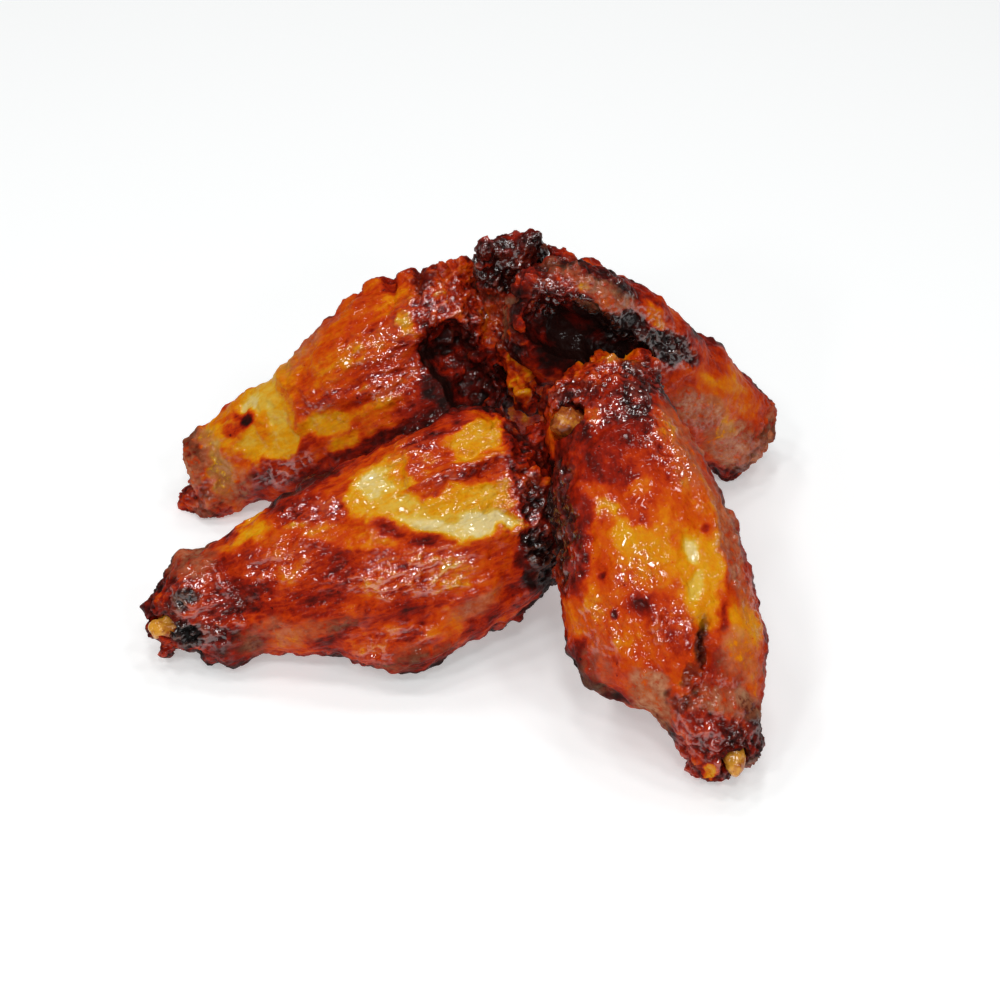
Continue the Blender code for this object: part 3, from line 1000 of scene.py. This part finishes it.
def roasted_bone(name):
    """A tan knuckle, darker in its pits and more golden near the floor."""
    finish = Finish(name)
    place = finish.place()
    broad = finish.grain(place, 3.0, 3)
    small = finish.grain(place, 0.9, 4)
    stops = [(0.36, shade(70, 24, 10)), (0.52, shade(164, 76, 26)), (0.7, shade(226, 156, 48))]
    height = finish.put("ShaderNodeSeparateXYZ", {}, {"Vector": place}, "Z")
    foot = 1 - finish.rise(height, *BONE_FOOT)
    colour = finish.colours(broad * 0.6 + small * 0.4 + foot * 0.14, stops)
    bump = finish.put("ShaderNodeBump", {}, {"Height": small, "Strength": 0.6, "Distance": 0.3 * MM})
    surface = finish.put(
        "ShaderNodeBsdfPrincipled",
        {},
        {
            "Base Color": colour,
            "Roughness": 0.5,
            "Coat Weight": 0.8,
            "Coat Roughness": 0.12,
            "Normal": bump,
            "Specular IOR Level": BARE_SPECULAR,
        },
    )
    finish.put("ShaderNodeOutputMaterial", {}, {"Surface": surface})
    return finish.material


# The floor's own shade, and the glow that keeps it white behind the piece.
FLOOR_SHADE = (0.83, 0.845, 0.845, 1)
FLOOR_GLOW = 0.32


def pale_floor():
    """A plain matt white surface."""
    finish = Finish("pale_floor")
    surface = finish.put(
        "ShaderNodeBsdfPrincipled",
        {},
        {
            "Base Color": FLOOR_SHADE,
            "Roughness": 0.9,
            "Specular IOR Level": 0.0,
            "Emission Color": (1, 1, 1, 1),
            "Emission Strength": FLOOR_GLOW,
        },
    )
    finish.put("ShaderNodeOutputMaterial", {}, {"Surface": surface})
    return finish.material


# ---------- the pieces ----------

for seed, side in enumerate(ENDS):
    wing = Wing(side, seed * 100 + 1)
    wing.assemble()
    wing.sculpt()
    lie = mathutils.Matrix(wing.turn.T.tolist()).to_euler()
    skin = glazed_skin("glazed_" + side, (seed * 0.3, 0.1, 0.2), lie, wing.stringy)
    wing.piece.data.materials.append(skin)
    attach(wing.piece, "root")
    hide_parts("wing_" + side)
    print(side, len(wing.piece.data.polygons) * 2, "triangles")

# Each bone is drawn in a little and then swollen unevenly, in millimetres.
BONE_SHRINK = 0.9
BONE_SWELLING = 2.2
BONE_LUMP = 3
knobbly = bpy.data.textures.new("knobbly", "CLOUDS")
knobbly.noise_scale = BONE_LUMP * MM
for side in ("front_right", "front_left"):
    bone = copy_of("bone_" + side, "knuckle_" + side)
    remesh(bone, BONE_CELL)
    modify(bone, "SMOOTH", factor=0.5, iterations=6)
    edit(bone, lambda: bpy.ops.transform.shrink_fatten(value=-BONE_SHRINK * MM))
    modify(bone, "DISPLACE", texture=knobbly, strength=BONE_SWELLING * MM, mid_level=0.5)
    only(bone)
    bpy.ops.object.shade_smooth()
    bone.data.materials.append(roasted_bone("roasted_" + side))
    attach(bone, "root")
    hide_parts("bone_" + side)


# ---------- floor, light and camera ----------


LAMP_TARGET = (0, 0, 0.02)
FLOOR_SIZE = 8
WORLD_LIGHT = 0.12
LENS = 75


def aim(thing, spot):
    """Turns a lamp or the camera to face the spot."""
    way = mathutils.Vector(spot) - thing.location
    thing.rotation_euler = way.to_track_quat("-Z", "Y").to_euler()


def softbox(name, spot, width, power):
    """A square white lamp."""
    light = bpy.data.lights.new(name, "AREA")
    light.shape = "SQUARE"
    light.size = width
    light.energy = power
    lamp = bpy.data.objects.new(name, light)
    bpy.context.scene.collection.objects.link(lamp)
    lamp.location = spot
    aim(lamp, LAMP_TARGET)


bpy.ops.object.select_all(action="DESELECT")
bpy.ops.mesh.primitive_plane_add(size=FLOOR_SIZE)
floor = bpy.context.object
floor.name = "floor"
floor.data.materials.append(pale_floor())

# How far apart the columns of lamps are, and how far every second row is shifted, in metres.
LAMP_SPACING = 0.4
LAMP_STAGGER = 0.1
# Each row of lamps, from the front to the back: how far back, how high, how wide and how strong.
ROWS = (
    (-0.66, 0.54, 0.09, 0.62),
    (-0.42, 0.74, 0.11, 0.75),
    (0.02, 0.88, 0.12, 0.72),
    (0.38, 0.82, 0.12, 0.68),
)
# How much of that strength the lamps of each column have, from the left to the right.
COLUMNS = (1.08, 1.0, 0.78)
for column, share in enumerate(COLUMNS):
    for row, (back, height, width, power) in enumerate(ROWS):
        across = LAMP_SPACING * (column - 1) + LAMP_STAGGER * (row % 2 - 0.5)
        spot = (across, back, height)
        softbox(f"overhead_{column}_{row}", spot, width, power * share)

world = bpy.data.worlds.new("studio")
bpy.context.scene.world = world
world.use_nodes = True
world.node_tree.nodes["Background"].inputs["Color"].default_value = (1, 1, 1, 1)
world.node_tree.nodes["Background"].inputs["Strength"].default_value = WORLD_LIGHT

camera = bpy.data.objects.new("camera", bpy.data.cameras.new("camera"))
bpy.context.scene.collection.objects.link(camera)
CAMERA_TARGET = np.array([4.7, -9.9, 28.0]) * MM
CAMERA_AWAY = 434 * MM
camera.location = CAMERA_TARGET + CAMERA_AWAY * FRONT
camera.data.lens = LENS
aim(camera, CAMERA_TARGET)
bpy.context.scene.camera = camera

bpy.context.scene.view_settings.view_transform = "Standard"
